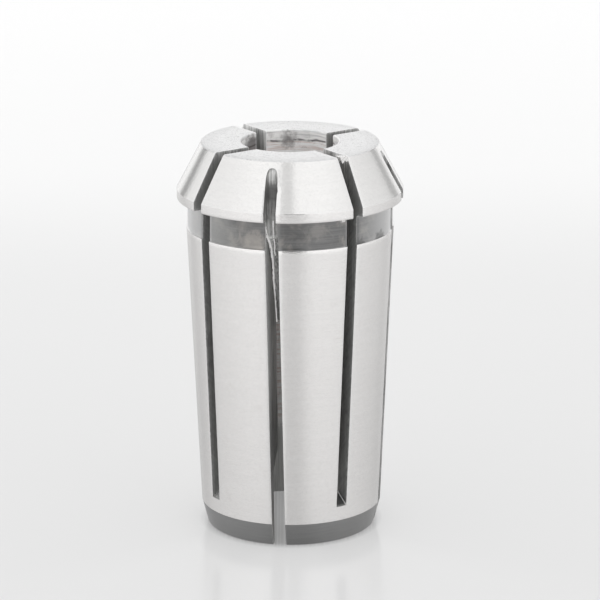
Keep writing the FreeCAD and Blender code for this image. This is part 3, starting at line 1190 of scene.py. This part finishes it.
board_paint, tree, shader = new_material("board_paint")
board_mesh.materials.append(board_paint)
place = add_node(tree, "TexCoord").outputs["Object"]
x, y, z = add_node(tree, "SeparateXYZ", {0: place}).outputs
reach = add_node(tree, "VectorMath", {0: place}, operation="LENGTH").outputs["Value"]
backward = maths(tree, "DIVIDE", y, reach)
sideward = maths(tree, "ABSOLUTE", maths(tree, "DIVIDE", x, reach))
ahead = ramp(tree, backward, -0.5, -0.7)
middle = ramp(tree, sideward, 0.45, 0.15, shape="SMOOTHSTEP")

# The tone that the steel mirrors, painted light and shade: brighter further out, painted shade round
# the foot and further back, and a painted shadow in a strip ahead.
lift = ramp(tree, reach, 0.0, 0.15, 0.925, 1.09)
foot = ramp(tree, reach, 0.0135, 0.019, 0.92)
turn = ramp(tree, backward, -0.74, 1.0, 1.0, 0.665)
fading = ramp(tree, reach, 0.12, 0.165, 0.15, 0.05)
shade = maths(tree, "MULTIPLY", maths(tree, "MULTIPLY", middle, ahead), fading)
mirrored = maths(tree, "MULTIPLY", maths(tree, "MULTIPLY", lift, foot), turn)
mirrored = maths(tree, "MULTIPLY", mirrored, span(tree, shade, 1.0, 0.0))

# The tone that the camera sees: painted reflections streak it under the collet, and painted light makes
# it a little brighter close ahead.
streak_line = add_node(tree, "CombineXYZ", {0: maths(tree, "MULTIPLY", x, 2200.0)}).outputs[0]
painted_reflection_streaks = span(tree, cloudy(tree, streak_line, 1.0, 2.0), 0.40, 0.95)
painted_light_close_by = maths(tree, "MULTIPLY", ramp(tree, reach, 0.075, 0.015), ahead)
painted_light_close_by = maths(tree, "MULTIPLY", painted_light_close_by, span(tree, middle, 0.025, 0.06))
painted_light_close_by = maths(tree, "ADD", painted_light_close_by, 1.012)
clear_of_foot = ramp(tree, reach, 0.0125, 0.0145)
seen = add_node(tree, "Mix", {"Factor": clear_of_foot, 2: painted_reflection_streaks, 3: painted_light_close_by}).outputs[0]

to_camera = add_node(tree, "LightPath").outputs["Is Camera Ray"]
tone = add_node(tree, "Mix", {"Factor": to_camera, 2: mirrored, 3: seen}).outputs[0]
# Painted light: the board's grey is lighter far back from the collet.
painted_light_behind = ramp(tree, y, 0.13, 0.245, shape="SMOOTHSTEP")
grey = blend(tree, painted_light_behind, (0.35, 0.35, 0.35), (0.443, 0.443, 0.443))
dimmed = add_node(tree, "VectorMath", {0: grey, "Scale": tone}, operation="SCALE").outputs[0]
tree.links.new(dimmed, shader.inputs["Base Color"])
glow = add_node(tree, "CombineColor", {"Red": tone, "Green": tone, "Blue": tone}).outputs[0]
tree.links.new(glow, shader.inputs["Emission Color"])
shader.inputs["Roughness"].default_value = 0.18
shader.inputs["Specular IOR Level"].default_value = 0.24
shader.inputs["Emission Strength"].default_value = 0.37


def stand_screen(name, low, high, tones):
    """A curved screen round the collet, from one angle up to another, with its own glow at each
    of a few headings."""
    distance = 0.9
    rows = 6
    corners, glows = [], []
    for heading, glow in tones:
        around = camera_heading + math.radians(heading)
        for row in range(rows + 1):
            up = math.tan(math.radians(low + (high - low) * row / rows)) * distance
            corners.append((math.sin(around) * distance, -math.cos(around) * distance, up))
            glows.append(glow)
    quads = []
    for column in range(len(tones) - 1):
        for row in range(rows):
            start = column * (rows + 1) + row
            quads.append((start, start + 1, start + rows + 2, start + rows + 1))
    screen_mesh = bpy.data.meshes.new(name)
    screen_mesh.from_pydata(corners, [], quads)
    screen_mesh.attributes.new("glow", "FLOAT", "POINT").data.foreach_set("value", glows)
    screen = bpy.data.objects.new(name, screen_mesh)
    bpy.context.collection.objects.link(screen)
    paint = bpy.data.materials.new(name + "_paint")
    paint.use_nodes = True
    tree = paint.node_tree
    tree.nodes.clear()
    light = add_node(tree, "Emission", {"Strength": mesh_mark(tree, "glow")})
    surface = add_node(tree, "OutputMaterial")
    tree.links.new(light.outputs[0], surface.inputs["Surface"])
    screen_mesh.materials.append(paint)
    return screen


opening = stand_screen("opening", 0.5, 22, [(-9, 0.05), (14, 0.05)])
tent_seam = stand_screen("seam", 26, 62, [(-14, 1.0), (-9, 0.74), (2, 0.74), (6, 1.0)])
left_side = stand_screen("left_side", 0.3, 40, [
    (-158, 1.05), (-150, 1.02), (-145, 0.75), (-142, 0.45), (-138, 0.32), (-134, 0.45), (-131, 0.75),
    (-127, 0.90), (-116, 0.92), (-100, 0.93), (-85, 0.95), (-60, 1.0), (-40, 1.05)])
right_side = stand_screen("right_side", 0.3, 40, [
    (40, 1.05), (58, 0.99), (85, 0.92), (99, 0.87), (110, 0.84), (118, 0.81), (125, 0.76), (129, 0.50),
    (135, 0.46), (139, 0.75), (143, 1.0), (152, 1.05)])

tent = bpy.data.worlds.new("tent")
bpy.context.scene.world = tent
tent.use_nodes = True
tent.node_tree.nodes["Background"].inputs["Color"].default_value = (1, 1, 1, 1)
tent.node_tree.nodes["Background"].inputs["Strength"].default_value = 1.05
bpy.context.scene.view_settings.view_transform = "Standard"

# The camera
# It looks down on the collet from the front, a little to the right of the front slot.
camera_distance = 0.48674
camera_height = 0.17522
camera_tilt = math.radians(15.986)
camera_aside = math.radians(0.1747)
camera_roll = math.radians(-0.1725)
camera_data = bpy.data.cameras.new("camera")
camera_data.lens = 194.953
camera_data.sensor_width = 36.0
camera = bpy.data.objects.new("camera", camera_data)
bpy.context.collection.objects.link(camera)
camera.matrix_world = (
    Matrix.Rotation(camera_heading, 4, "Z")
    @ Matrix.Translation((0, -camera_distance, camera_height))
    @ Matrix.Rotation(-camera_aside, 4, "Z")
    @ Matrix.Rotation(math.pi / 2 - camera_tilt, 4, "X")
    @ Matrix.Rotation(camera_roll, 4, "Z"))
bpy.context.scene.camera = camera
